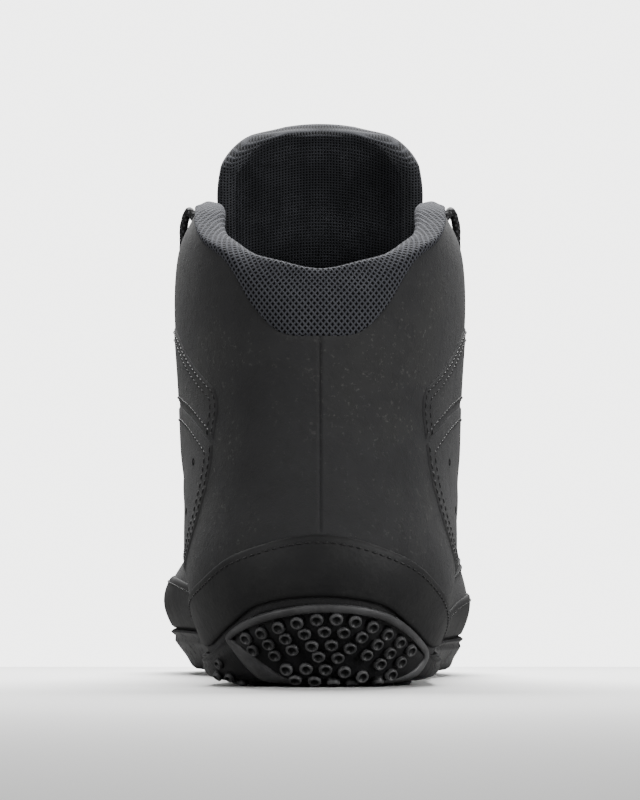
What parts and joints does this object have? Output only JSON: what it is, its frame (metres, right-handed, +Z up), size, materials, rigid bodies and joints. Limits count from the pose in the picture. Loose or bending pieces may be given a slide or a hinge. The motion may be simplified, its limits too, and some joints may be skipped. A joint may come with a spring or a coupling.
{
  "type": "wrestling shoe",
  "caption": "High-top wrestling shoe for a right foot with padded mesh collar and tall tongue, rubber cup sole with round lugs that wrap up the heel.",
  "frame": {"origin": "centre of the shoe's box on the floor it stands on", "axes": "+Y from heel to toe, +X to the outer side of the foot, +Z up"},
  "size_m": [0.107, 0.284, 0.1771],
  "materials": {
    "collar": "open mesh over foam",
    "eyestay": "matte nubuck-like synthetic",
    "heel_counter": "smooth synthetic",
    "insole": "brushed cloth on foam",
    "lace": "round braid",
    "outsole": "matte moulded rubber",
    "side_panel": "matte nubuck-like synthetic",
    "toe_rand": "smooth synthetic",
    "tongue": "open mesh over foam",
    "upper": "matte nubuck-like synthetic"
  },
  "bodies": {
    "root": {"collar": "collar", "eyestay": "eyestay", "heel_counter": "heel_counter", "insole": "insole", "lace": "lace", "outsole": "outsole", "quarter_inner": "side_panel", "quarter_outer": "side_panel", "saddle_inner": "side_panel", "saddle_outer": "side_panel", "toe_rand": "toe_rand", "tongue": "tongue", "upper": "upper"}
  },
  "joints": []
}
